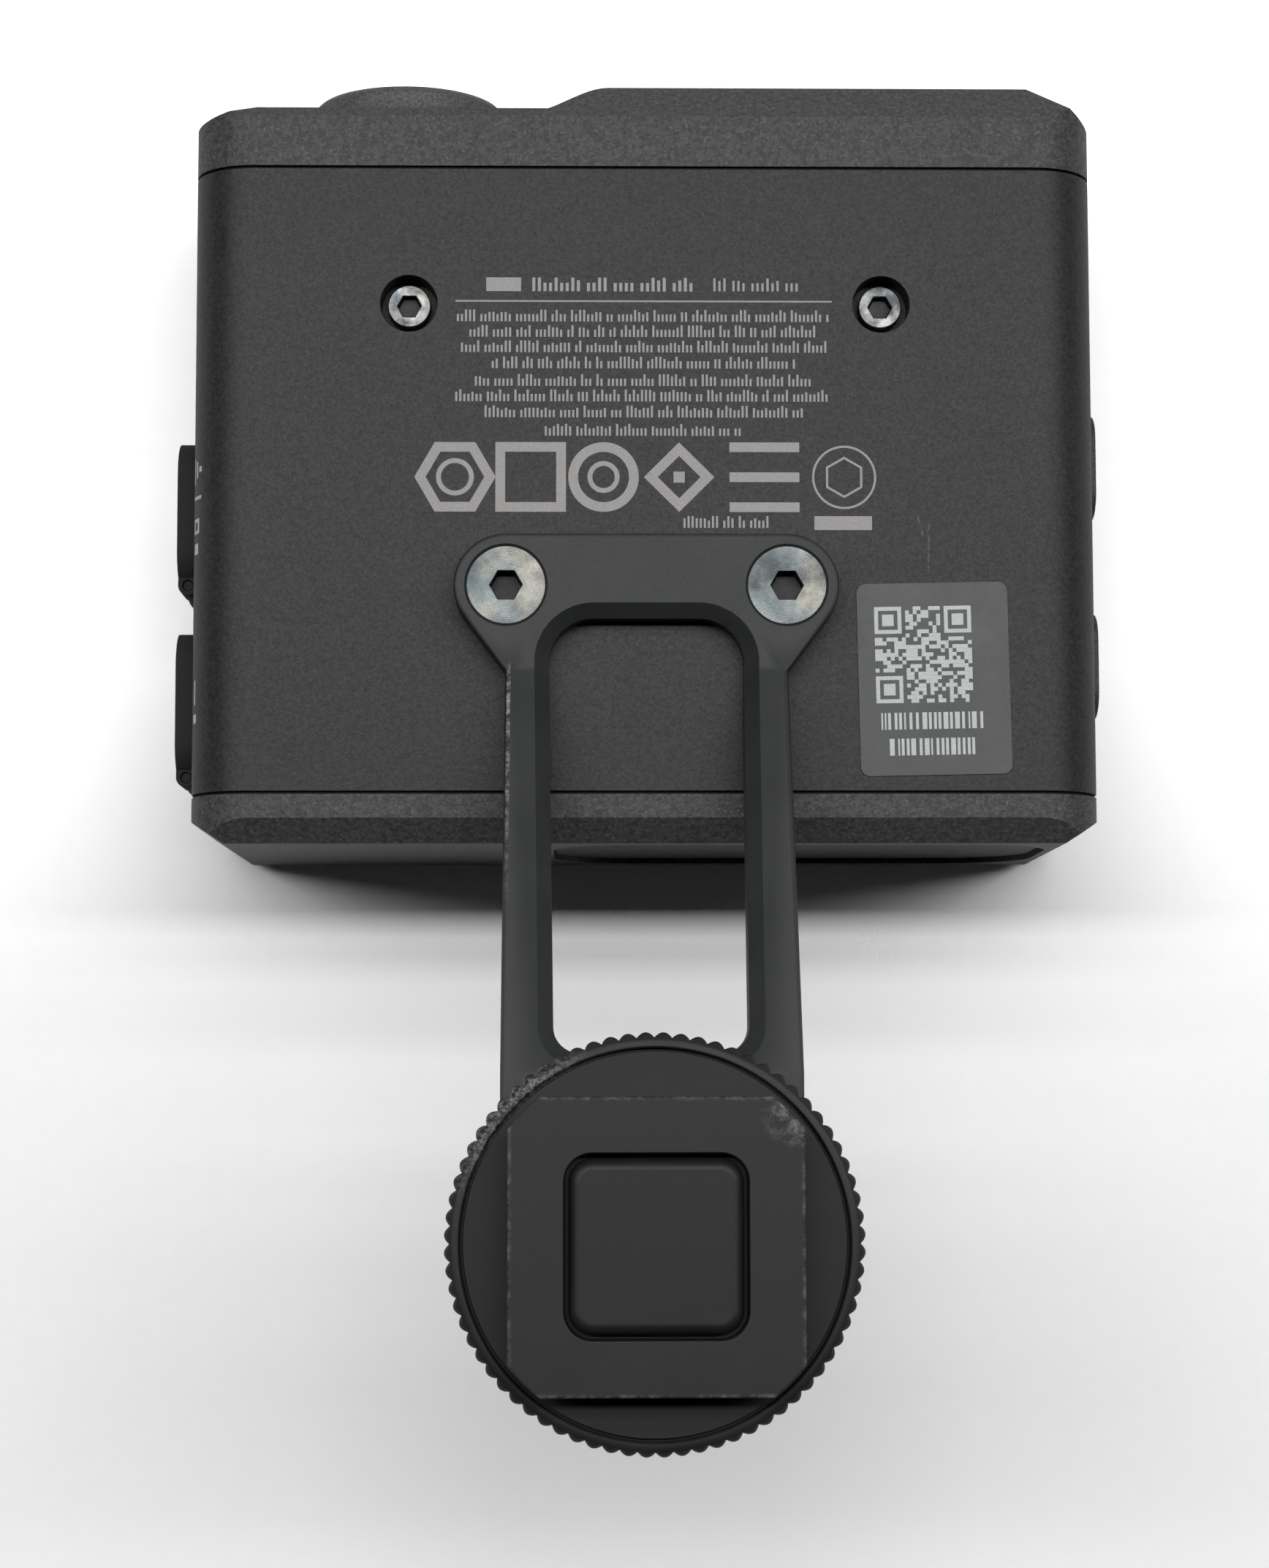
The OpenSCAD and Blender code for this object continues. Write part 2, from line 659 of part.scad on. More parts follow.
module foot_pad() color([0.05, 0.05, 0.055]) {
    translate([0, wheel_y, pad_face - pad_thick]) {
        linear_extrude(pad_thick - 0.45) rounded(pad_side, pad_side, 1.5);
        linear_extrude(pad_thick - 0.2) rounded(pad_side - 0.5, pad_side - 0.5, 1.3);
        linear_extrude(pad_thick) rounded(pad_side - 1.2, pad_side - 1.2, 1.0);
    }
    rod_z(0, wheel_y, stud_end - 0.9, pad_face - pad_thick + eps, stem_r);
}

// Coil of round wire: one ring of points every 30 degrees, square to the wire's run
module coil(r, wire_r, z0, z1, turns, sides = 6) {
    rings = turns * 12;
    rise = (z1 - z0 - 2 * wire_r) / rings;
    tilt = atan(rise * 12 / (2 * PI * r));
    points = [for (i = [0:rings], k = [0:sides - 1])
        let (a = i * 30, b = k * 360 / sides, out = r + wire_r * cos(b), up = wire_r * sin(b))
        [out * cos(a) + up * sin(tilt) * sin(a), out * sin(a) - up * sin(tilt) * cos(a),
         z0 + wire_r + i * rise + up * cos(tilt)]];
    skin = [for (i = [0:rings - 1], k = [0:sides - 1])
        let (n = (k + 1) % sides)
        [i * sides + k, i * sides + n, (i + 1) * sides + n, (i + 1) * sides + k]];
    ends = [[for (k = [sides - 1:-1:0]) k], [for (k = [0:sides - 1]) rings * sides + k]];
    polyhedron(points, concat(skin, ends));
}

module pad_spring() color("silver") translate([0, wheel_y, 0])
    coil(2.1, 0.3, spring_z, pad_face - pad_thick - 0.02, 4);

module pad_clip() color("silver") difference() {
    rod_z(0, wheel_y, stud_end - 0.5, stud_end - 0.05, 2.4);
    rod_z(0, wheel_y, stud_end - 1, stud_end, stem_r);
}

front_cover();
mid_housing();
rear_cover();
rear_trim();
front_seal();
rear_seal();
lens_ring();
camera_barrel();
camera_lens();
camera_board();
lidar_window();
lidar_holder();
emitter_lens();
receiver_lens();
rangefinder_board();
chassis_plate();
main_board();
board_shield();
board_screws();
port_board();
port_sockets();
side_board();
button_switches();
cover_screws();
port_cover_front();
port_cover_rear();
cover_straps();
button_front();
button_rear();
label_sticker();
case_screws();
arm_screws();
arm();
shoe_foot();
stud_nut();
pressure_disc();
clamp_wheel();
foot_pad();
pad_spring();
pad_clip();
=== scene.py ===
import bpy
import bmesh
import math
import random
from mathutils import Matrix, Vector


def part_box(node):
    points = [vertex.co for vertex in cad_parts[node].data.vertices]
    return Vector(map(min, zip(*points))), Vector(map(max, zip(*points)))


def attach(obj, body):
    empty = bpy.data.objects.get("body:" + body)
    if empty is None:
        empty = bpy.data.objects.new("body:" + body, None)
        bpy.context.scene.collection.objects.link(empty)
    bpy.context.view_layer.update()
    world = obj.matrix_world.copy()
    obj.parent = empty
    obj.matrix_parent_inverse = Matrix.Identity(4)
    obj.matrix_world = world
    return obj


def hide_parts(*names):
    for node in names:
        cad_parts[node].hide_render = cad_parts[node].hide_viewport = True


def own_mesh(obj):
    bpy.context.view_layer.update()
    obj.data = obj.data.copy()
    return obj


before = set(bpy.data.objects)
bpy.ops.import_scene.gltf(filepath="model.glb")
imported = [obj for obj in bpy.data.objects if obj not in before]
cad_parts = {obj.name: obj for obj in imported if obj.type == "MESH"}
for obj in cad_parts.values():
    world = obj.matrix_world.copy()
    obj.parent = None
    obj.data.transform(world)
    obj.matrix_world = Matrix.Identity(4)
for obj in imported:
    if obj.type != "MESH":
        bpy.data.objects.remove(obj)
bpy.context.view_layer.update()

MM = 0.001

# %% [markdown]
# A laser rangefinder lies on its top face, with the arm and its shoe foot in the air. The frame
# has already put every piece at its real place, so this lesson is about finish: each outer piece
# is rounded where a cutter or a mould would round it, and each surface gets a procedural material.
# All places come from the boxes of the construction pieces, never from typed coordinates alone.

# %% Places read from the frame
def corners(name):
    lo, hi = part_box(name)
    return lo, hi, (lo + hi) / 2


HOUSE_LO, HOUSE_HI, _ = corners("mid_housing")
PLATE_LO, _, _ = corners("arm")
WHEEL_LO, WHEEL_HI, WHEEL_MID = corners("clamp_wheel")
_, FOOT_HI, FOOT_MID = corners("shoe_foot")
TOP = HOUSE_HI.z
print("mounting face at", round(TOP / MM, 2), "mm")

# %% [markdown]
# The camera looks almost straight down on the mounting face. It stands a little towards the foot
# and to the left, 235 mm above the face, so it is tilted by about five degrees. It is made first,
# because everything else is judged through it.

# %% Camera
CAMERA_HEIGHT = 234.66 * MM
CAMERA_X, CAMERA_Y = -5.116 * MM, -44.03 * MM
TILT, PAN, ROLL = (math.radians(a) for a in (5.36, -1.042, -0.008))
FOCAL_RATIO = 4555.4 / 2145

camera_data = bpy.data.cameras.new("camera")
camera = bpy.data.objects.new("camera", camera_data)
bpy.context.scene.collection.objects.link(camera)
turn = Matrix.Rotation(TILT, 3, "X") @ Matrix.Rotation(PAN, 3, "Y") @ Matrix.Rotation(ROLL, 3, "Z")
camera.matrix_world = Matrix.Translation((CAMERA_X, CAMERA_Y, TOP + CAMERA_HEIGHT)) @ turn.to_4x4()
camera_data.sensor_width = 36
camera_data.lens = FOCAL_RATIO * camera_data.sensor_width
camera_data.clip_start, camera_data.clip_end = 0.01, 10
bpy.context.scene.camera = camera
bpy.context.scene.view_settings.view_transform = "Standard"
print("lens", round(camera_data.lens, 1), "mm")

# %% [markdown]
# Every outer piece is finished in the same way. Its construction mesh is copied and its loose
# triangles are merged, flat regions are dissolved into whole faces, and the sharp edges are
# bevelled. The copy replaces the sharp original in the picture, which stays for the physics.

# %% Helpers for modelling
def activate(piece):
    bpy.ops.object.select_all(action="DESELECT")
    piece.select_set(True)
    bpy.context.view_layer.objects.active = piece


def merged_copy(node, name):
    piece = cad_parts[node].copy()
    piece.data = piece.data.copy()
    for key in list(piece.keys()):
        del piece[key]
    piece.name = piece.data.name = name
    piece.parent = None
    piece.data.materials.clear()
    bpy.context.scene.collection.objects.link(piece)
    activate(piece)
    bpy.ops.object.mode_set(mode="EDIT")
    bpy.ops.mesh.select_all(action="SELECT")
    bpy.ops.mesh.remove_doubles(threshold=0.002 * MM)
    bpy.ops.mesh.dissolve_limited(angle_limit=math.radians(0.6))
    bpy.ops.object.mode_set(mode="OBJECT")
    return piece


def select_edges(piece, wanted):
    # wanted(edge) is True for each edge to select, with edit mode's own edge data
    activate(piece)
    bpy.ops.object.mode_set(mode="EDIT")
    bpy.ops.mesh.select_mode(type="EDGE")
    bpy.ops.mesh.select_all(action="DESELECT")
    mesh = bmesh.from_edit_mesh(piece.data)
    count = 0
    for edge in mesh.edges:
        if len(edge.link_faces) == 2 and wanted(edge):
            edge.select_set(True)
            count += 1
    bmesh.update_edit_mesh(piece.data)
    return count


def bevel_selected(width, segments):
    bpy.ops.mesh.bevel(offset=width, segments=segments, affect="EDGES", clamp_overlap=True)
    bpy.ops.object.mode_set(mode="OBJECT")


def round_edges(piece, width, segments=2, angle=30):
    bevel = piece.modifiers.new("rounded edges", "BEVEL")
    bevel.width, bevel.segments = width, segments
    bevel.limit_method, bevel.angle_limit = "ANGLE", math.radians(angle)
    bevel.use_clamp_overlap = True
    bevel.harden_normals = False
    activate(piece)
    bpy.ops.object.modifier_apply(modifier=bevel.name)


def smooth(piece, angle=35):
    # Weighted normals keep the large flat faces flat right up to their rounded edges
    activate(piece)
    bpy.ops.object.shade_smooth_by_angle(angle=math.radians(angle))
    weighted = piece.modifiers.new("weighted normals", "WEIGHTED_NORMAL")
    weighted.keep_sharp = True
    bpy.ops.object.modifier_apply(modifier=weighted.name)


def set_on(piece, body, slot, material, *nodes):
    piece.data.materials.clear()
    piece.data.materials.append(material)
    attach(piece, body)
    if nodes:
        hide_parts(*nodes)
    return piece


def rounded_part(node, name, body, slot, material, width, segments=2, angle=30):
    piece = merged_copy(node, name)
    round_edges(piece, width, segments, angle)
    smooth(piece)
    return set_on(piece, body, slot, material, node)


# %% [markdown]
# The finishes share a small kit. A material starts from the surface's own place in space, so that
# grain has its real size everywhere. Noise drives colour, roughness and relief. Values that are
# the same all over are set straight on the shader.

# %% Helpers for materials
class Finish:
    def __init__(self, name, roughness, metallic=0.0, specular=0.5):
        self.material = bpy.data.materials.new(name)
        self.material.use_nodes = True
        self.tree = self.material.node_tree
        self.shader = self.tree.nodes["Principled BSDF"]
        self.shader.inputs["Roughness"].default_value = roughness
        self.shader.inputs["Metallic"].default_value = metallic
        self.shader.inputs["Specular IOR Level"].default_value = specular
        source = self.tree.nodes.new("ShaderNodeTexCoord").outputs
        self.place, self.facing = source["Object"], source["Normal"]

    def node(self, kind, **inputs):
        made = self.tree.nodes.new(kind)
        for key, value in inputs.items():
            self.feed(made.inputs[key.replace("_", " ")], value)
        return made

    def feed(self, socket, value):
        if hasattr(value, "is_output"):
            self.tree.links.new(value, socket)
        else:
            socket.default_value = value

    def noise(self, grain, detail=2.0, roughness=0.5, place=None):
        # grain is the size of one blob, in metres
        made = self.node("ShaderNodeTexNoise", Vector=place or self.place, Scale=1 / grain,
                         Detail=detail, Roughness=roughness)
        return made.outputs["Fac"]

    def span(self, value, low, high, out_low=0.0, out_high=1.0):
        made = self.node("ShaderNodeMapRange", Value=value)
        made.inputs["From Min"].default_value, made.inputs["From Max"].default_value = low, high
        made.inputs["To Min"].default_value, made.inputs["To Max"].default_value = out_low, out_high
        return made.outputs["Result"]

    def math(self, operation, a, b=0.0, c=0.0):
        made = self.tree.nodes.new("ShaderNodeMath")
        made.operation = operation
        for socket, value in zip(made.inputs, (a, b, c)):
            self.feed(socket, value)
        return made.outputs["Value"]

    def blend(self, factor, a, b):
        made = self.tree.nodes.new("ShaderNodeMix")
        made.data_type = "RGBA"
        for socket, value in ((made.inputs[0], factor), (made.inputs[6], a), (made.inputs[7], b)):
            self.feed(socket, value)
        return made.outputs[2]

    def axes(self, place=None):
        return self.node("ShaderNodeSeparateXYZ", Vector=place or self.place).outputs

    def relief(self, height, depth, strength=1.0, below=None):
        made = self.node("ShaderNodeBump", Height=height, Distance=depth, Strength=strength)
        if below is not None:
            self.feed(made.inputs["Normal"], below)
        return made.outputs["Normal"]

    def dress(self, **sockets):
        for key, value in sockets.items():
            self.feed(self.shader.inputs[key.replace("_", " ")], value)
        return self.material


def grey(level, tint=0.0):
    # A linear grey with a slight blue tint
    return (level, level * (1 + tint * 0.6), level * (1 + tint), 1)


# %% [markdown]
# The covers are moulded in a coarse sand texture, and its sparkle is painted: glints drawn as bright
# flecks in the colour. The middle housing has a finer one and is darker. Both are dark plastic with
# little gloss, so the relief does most of the work.

# %% Moulded plastics
def sand_plastic(name, level, grain, depth, painted_glint, roughness=0.45, marks=None):
    f = Finish(name, roughness, specular=0.32)
    coarse = f.noise(grain, 3.0, 0.6)
    cloud = f.span(f.noise(9 * MM, 3.0), 0.3, 0.7)
    base = f.blend(cloud, grey(level * 0.92, 0.06), grey(level * 1.08, 0.05))
    mottle = f.span(f.noise(grain * 2.6, 3.0, 0.7), 0.38, 0.62)
    base = f.blend(f.math("MULTIPLY", mottle, 0.9), base, grey(level * 2.6, 0.02))
    # Painted glints: bright flecks in the colour stand for light caught by the sand grains
    glint_flecks = f.span(f.noise(grain * 1.5, 1.0), 0.58, 0.70)
    colour = f.blend(f.math("MULTIPLY", glint_flecks, painted_glint), base, grey(level * 4.5))
    dust = f.span(f.noise(1.9 * MM, 6.0, 0.75), 0.735, 0.76)
    colour = f.blend(f.math("MULTIPLY", dust, 0.35), colour, grey(0.28))
    if marks is not None:
        colour = marks(f, colour)
    rough = f.span(coarse, 0.3, 0.7, roughness - 0.08, roughness + 0.1)
    return f.dress(Base_Color=colour, Roughness=rough, Normal=f.relief(coarse, depth, 0.8))


def band(f, value, centre, half_width, soft):
    # 1 within half_width of centre, falling to 0 over soft
    away = f.math("ABSOLUTE", f.math("SUBTRACT", value, centre))
    return f.span(away, half_width, half_width + soft, 1.0, 0.0)


def scratch(f, x, y, centre, half_length, lean=0.0):
    # A hair-thin upright scratch, broken up along its length
    run = f.math("SUBTRACT", y, centre[1])
    across = f.math("SUBTRACT", f.math("SUBTRACT", x, centre[0]), f.math("MULTIPLY", run, lean))
    line = f.math("MULTIPLY", band(f, across, 0, 0.03 * MM, 0.05 * MM),
                  band(f, run, 0, half_length, 0.4 * MM))
    return f.math("MULTIPLY", line, f.span(f.noise(0.35 * MM, 4.0, 0.7), 0.40, 0.60))


def housing_marks(f, colour):
    # Two faint light scratches over the label, and a dark smudge on the left edge
    x, y, _ = f.axes()
    light = f.math("MAXIMUM", scratch(f, x, y, (20.2 * MM, -5.0 * MM), 1.5 * MM, 0.03),
                   scratch(f, x, y, (19.6 * MM, -3.4 * MM), 0.6 * MM, -0.3))
    smudge = f.math("MULTIPLY", band(f, x, -30.3 * MM, 0.10 * MM, 0.25 * MM),
                    band(f, y, 17.3 * MM, 0.5 * MM, 0.9 * MM))
    colour = f.blend(f.math("MULTIPLY", smudge, 0.6), colour, grey(0.008))
    return f.blend(f.math("MULTIPLY", light, 0.5), colour, grey(0.22))


cover_plastic = sand_plastic("coarse sand plastic", 0.028, 0.15 * MM, 0.038 * MM, 0.60)
housing_plastic = sand_plastic("fine sand plastic", 0.012, 0.12 * MM, 0.018 * MM, 0.26, marks=housing_marks)
ring_plastic = sand_plastic("satin ring plastic", 0.050, 0.07 * MM, 0.004 * MM, 0.08, 0.5)
trim_plastic = sand_plastic("trim plastic", 0.020, 0.10 * MM, 0.006 * MM, 0.1, 0.5)
button_plastic = sand_plastic("button plastic", 0.030, 0.08 * MM, 0.006 * MM, 0.12, 0.5)
inner_plastic = sand_plastic("inner plastic", 0.030, 0.20 * MM, 0.006 * MM, 0.05, 0.45)


# %% [markdown]
# The rubber port covers are softer and duller than plastic: a fine matt skin with a little dust
# caught in it.

# %% Rubber
def soft_rubber(name, level):
    f = Finish(name, 0.75, specular=0.25)
    skin = f.noise(0.09 * MM, 3.0, 0.6)
    lint = f.span(f.noise(0.5 * MM, 5.0, 0.8), 0.66, 0.72)
    colour = f.blend(f.math("MULTIPLY", lint, 0.3), grey(level, 0.03), grey(level * 5))
    return f.dress(Base_Color=colour, Roughness=f.span(skin, 0.3, 0.7, 0.68, 0.85),
                   Normal=f.relief(skin, 0.008 * MM, 0.7))


cover_rubber = soft_rubber("cover rubber", 0.026)
seal_rubber = soft_rubber("seal rubber", 0.008)


# %% [markdown]
# The arm, the wheel and the foot are aluminium, bead blasted and anodised black. The film is a
# satin black with a faint blue cast. It is rubbed through where metal touches metal, so bright
# specks gather on the corners that meet a shoe.

# %% Black anodised metal
def black_anodised(name, level, rubbed=None, wear_colour=0.45):
    f = Finish(name, 0.48, specular=0.36)
    blast = f.noise(0.055 * MM, 2.0, 0.6)
    handled = f.noise(6 * MM, 4.0, 0.6)
    colour = f.blend(f.span(handled, 0.35, 0.7), grey(level, 0.08), grey(level * 1.28, 0.06))
    rough = f.math("ADD", f.span(blast, 0.3, 0.7, 0.42, 0.56), f.span(handled, 0.3, 0.7, -0.03, 0.05))
    if rubbed is not None:
        worn = rubbed(f)
        colour = f.blend(worn, colour, grey(wear_colour))
    return f.dress(Base_Color=colour, Roughness=rough, Normal=f.relief(blast, 0.006 * MM, 0.6))


def arm_rub(f):
    # A bright rubbed line along the outer edge of the left leg, broken up by noise
    x, y, _ = f.axes()
    leg_edge = PLATE_LO.x + 3.9 * MM
    line = band(f, x, leg_edge, 0.09 * MM, 0.08 * MM)
    reach = f.math("MULTIPLY", f.span(y, HOUSE_LO.y - 8 * MM, HOUSE_LO.y + 6 * MM, 0.15, 1.0),
                   band(f, y, HOUSE_LO.y, 8 * MM, 1 * MM))
    upward = f.span(f.axes(f.facing)[2], 0.25, 0.6, 0.0, 0.8)
    broken = f.math("MULTIPLY", f.span(f.noise(0.6 * MM, 5.0, 0.8), 0.44, 0.62), upward)
    return f.math("MULTIPLY", f.math("MULTIPLY", line, reach), broken)


def foot_rub(f):
    # Faint rubbed lines along the foot's upper edges, with a bright spot at the far right corner
    x, y, z = f.axes()
    corner = f.node("ShaderNodeVectorMath", Vector=f.place)
    corner.operation = "DISTANCE"
    corner.inputs[1].default_value = (FOOT_HI.x - 0.3 * MM, FOOT_HI.y - 0.9 * MM, FOOT_HI.z)
    spot = f.span(corner.outputs["Value"], 0.8 * MM, 2.6 * MM, 0.5, 0.0)
    edge_x = f.span(f.math("ABSOLUTE", f.math("SUBTRACT", x, FOOT_MID.x)), 8.95 * MM, 9.2 * MM)
    edge_y = f.span(f.math("ABSOLUTE", f.math("SUBTRACT", y, FOOT_MID.y)), 8.95 * MM, 9.2 * MM)
    edge = f.math("MULTIPLY", f.math("MAXIMUM", edge_x, edge_y),
                  f.span(z, FOOT_HI.z - 0.5 * MM, FOOT_HI.z - 0.15 * MM))
    broken = f.span(f.noise(0.9 * MM, 6.0, 0.75), 0.45, 0.64)
    return f.math("MULTIPLY", broken, f.math("MULTIPLY_ADD", edge, 0.26, spot))


def rim_rub(f):
    # Whitish upper ends of the ridges on the far left of the wheel
    _, _, z = f.axes()
    away = f.node("ShaderNodeVectorMath", Vector=f.place)
    away.operation = "DISTANCE"
    away.inputs[1].default_value = (WHEEL_LO.x + 3 * MM, WHEEL_HI.y - 4 * MM, WHEEL_HI.z)
    near = f.span(away.outputs["Value"], 2.5 * MM, 7 * MM, 1.0, 0.0)
    near = f.math("MULTIPLY", near, f.span(z, WHEEL_HI.z - 1.3 * MM, WHEEL_HI.z - 0.3 * MM))
    broken = f.span(f.noise(0.3 * MM, 4.0, 0.7), 0.45, 0.62)
    return f.math("MULTIPLY", near, f.math("MULTIPLY", broken, 0.40))


arm_metal = black_anodised("black anodised arm", 0.027, arm_rub)
foot_metal = black_anodised("black anodised foot", 0.013, foot_rub)
wheel_metal = black_anodised("black anodised wheel", 0.014, rim_rub)
pad_metal = black_anodised("black anodised pad", 0.010)


# %% [markdown]
# The screws are bare steel, tarnished in soft grey, straw and blue patches, and show turning rings
# on their heads. Their sockets get painted shade: below the head's top the colour turns near black.

# %% Steel
def screw_centres(node):
    # The right-hand screw's axis, and the height of the head's top
    lo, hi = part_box(node)
    return hi.x - (hi.y - lo.y) / 2, (lo.y + hi.y) / 2, hi.z


def worn_steel(name, dark, bright, node, patch, ring_pitch):
    f = Finish(name, 0.4, metallic=1.0)
    centre_x, centre_y, head_top = screw_centres(node)
    patches = f.noise(patch, 4.0, 0.6)
    fine = f.noise(0.12 * MM, 4.0, 0.7)
    tarnish = f.span(patches, 0.36, 0.64)
    blue = f.span(f.noise(patch * 1.2, 2.0, 0.5), 0.46, 0.66)
    colour = f.blend(tarnish, dark, bright)
    colour = f.blend(f.math("MULTIPLY", blue, 0.45), colour, (0.10, 0.14, 0.165, 1))
    x, y, z = f.axes()
    # Painted shade in the sockets: from a fifth of a millimetre below the head's top the colour darkens,
    # near black from 0.45 mm down
    painted_socket_shade = f.span(z, head_top - 0.45 * MM, head_top - 0.2 * MM, 1.0, 0.0)
    colour = f.blend(painted_socket_shade, colour, f.blend(fine, grey(0.012), grey(0.05)))
    off_x = f.math("SUBTRACT", f.math("ABSOLUTE", x), centre_x)
    off_y = f.math("SUBTRACT", y, centre_y)
    from_axis = f.math("SQRT", f.math("ADD", f.math("MULTIPLY", off_x, off_x),
                                      f.math("MULTIPLY", off_y, off_y)))
    rings = f.math("SINE", f.math("MULTIPLY", from_axis, 2 * math.pi / ring_pitch))
    height = f.math("ADD", f.math("MULTIPLY", rings, 0.5), fine)
    rough = f.math("ADD", f.span(fine, 0.3, 0.7, 0.34, 0.50), f.span(patches, 0.3, 0.7, 0.08, -0.04))
    return f.dress(Base_Color=colour, Roughness=rough, Normal=f.relief(height, 0.004 * MM, 0.7))


def plain_metal(name, level, roughness, grain, depth, tint=0.02):
    # Stamped or turned metal, with a fine grain and faint stains
    f = Finish(name, roughness, metallic=1.0)
    fine = f.noise(grain, 3.0, 0.6)
    stain = f.span(f.noise(2.2 * MM, 4.0, 0.6), 0.45, 0.7)
    colour = f.blend(stain, grey(level, tint), grey(level * 0.72, tint))
    rough = f.span(fine, 0.3, 0.7, roughness - 0.06, roughness + 0.10)
    return f.dress(Base_Color=colour, Roughness=rough, Normal=f.relief(fine, depth, 0.6))


ARM_SCREW_X, ARM_SCREW_Y, _ = screw_centres("arm_screws")
arm_screw_steel = worn_steel("tarnished steel", (0.075, 0.08, 0.08, 1), (0.23, 0.225, 0.20, 1),
                             "arm_screws", 3.0 * MM, 0.16 * MM)
case_screw_steel = worn_steel("worn steel", (0.08, 0.08, 0.077, 1), (0.34, 0.335, 0.32, 1),
                              "case_screws", 1.4 * MM, 0.12 * MM)
plain_steel = plain_metal("plain steel", 0.42, 0.32, 0.10 * MM, 0.003 * MM)
shield_metal = plain_metal("stamped shield", 0.55, 0.36, 0.30 * MM, 0.004 * MM, 0.0)
chassis_metal = plain_metal("milled chassis", 0.50, 0.40, 0.16 * MM, 0.006 * MM)
print("arm screws at", round(ARM_SCREW_X / MM, 2), round(ARM_SCREW_Y / MM, 2), "mm")

# %% [markdown]
# Behind the window are coated lenses. A coating shows one colour from the front and another at a
# glancing angle, which Layer Weight gives. The window is a dark tinted glass, and the boards are
# green with fine tracks.

# %% Glass, film and boards
def coated_glass(name, front, glancing):
    f = Finish(name, 0.04, specular=0.9)
    facing = f.node("ShaderNodeLayerWeight", Blend=0.35).outputs["Facing"]
    veil = f.span(f.noise(1.5 * MM, 4.0, 0.6), 0.35, 0.75, 0.0, 0.12)
    colour = f.blend(facing, (*front, 1), (*glancing, 1))
    colour = f.blend(veil, colour, grey(0.06))
    return f.dress(Base_Color=colour, Roughness=f.span(veil, 0.0, 0.12, 0.03, 0.10))


def tinted_window():
    f = Finish("tinted window", 0.05, specular=0.6)
    smear = f.noise(4 * MM, 4.0, 0.6)
    colour = f.blend(f.span(smear, 0.35, 0.7), (0.010, 0.008, 0.010, 1), (0.016, 0.012, 0.014, 1))
    return f.dress(Base_Color=colour, Roughness=f.span(smear, 0.4, 0.7, 0.04, 0.11))


def circuit_board():
    f = Finish("circuit board", 0.4)
    x, _, z = f.axes()
    along = f.math("ADD", x, f.math("MULTIPLY", z, 0.7))
    cells = f.node("ShaderNodeTexVoronoi", Vector=f.place, Scale=1 / (1.4 * MM))
    lanes = f.math("FRACT", f.math("MULTIPLY", along, 1 / (0.8 * MM)))
    track = f.math("MULTIPLY", f.math("LESS_THAN", lanes, 0.35),
                   f.math("GREATER_THAN", f.noise(5 * MM, 1.0), 0.5))
    pads = f.math("LESS_THAN", cells.outputs["Distance"], 0.16)
    colour = f.blend(track, (0.012, 0.075, 0.035, 1), (0.03, 0.14, 0.06, 1))
    colour = f.blend(pads, colour, (0.55, 0.50, 0.38, 1))
    height = f.math("ADD", track, pads)
    return f.dress(Base_Color=colour, Normal=f.relief(height, 0.02 * MM, 0.6))


def label_film():
    f = Finish("label film", 0.42, specular=0.45)
    cloud = f.span(f.noise(2.4 * MM, 5.0, 0.65), 0.3, 0.7)
    fine = f.noise(0.16 * MM, 3.0, 0.6)
    colour = f.blend(cloud, grey(0.055, 0.05), grey(0.074, 0.04))
    colour = f.blend(f.math("MULTIPLY", f.span(fine, 0.45, 0.75), 0.35), colour, grey(0.11))
    dust = f.span(f.noise(0.55 * MM, 5.0, 0.8), 0.70, 0.74)
    colour = f.blend(f.math("MULTIPLY", dust, 0.4), colour, grey(0.35))
    rough = f.span(cloud, 0.0, 1.0, 0.38, 0.52)
    return f.dress(Base_Color=colour, Roughness=rough, Normal=f.relief(fine, 0.003 * MM, 0.5))


def print_ink(name, level, tint):
    # Thin ink: the grain of the plastic shows through it
    f = Finish(name, 0.6, specular=0.3)
    grain = f.noise(0.10 * MM, 3.0, 0.6)
    thin = f.span(f.noise(0.7 * MM, 4.0, 0.7), 0.35, 0.65)
    colour = f.blend(f.span(grain, 0.35, 0.7), grey(level * 0.8, tint), grey(level * 1.12, tint))
    colour = f.blend(f.math("MULTIPLY", thin, 0.25), colour, grey(level * 0.7, tint))
    return f.dress(Base_Color=colour, Normal=f.relief(grain, 0.010 * MM, 0.7))


camera_glass = coated_glass("camera lens coating", (0.010, 0.012, 0.030), (0.10, 0.16, 0.12))
beam_glass = coated_glass("beam lens coating", (0.030, 0.008, 0.014), (0.14, 0.05, 0.10))
window_glass = tinted_window()
board_green = circuit_board()
label_grey = label_film()
face_ink = print_ink("grey ink", 0.42, -0.06)
label_ink = print_ink("white ink", 0.66, 0.05)
side_ink = print_ink("side ink", 0.60, 0.0)

# %% [markdown]
# The pieces inside keep their construction meshes, and get a finish by what they are made of.

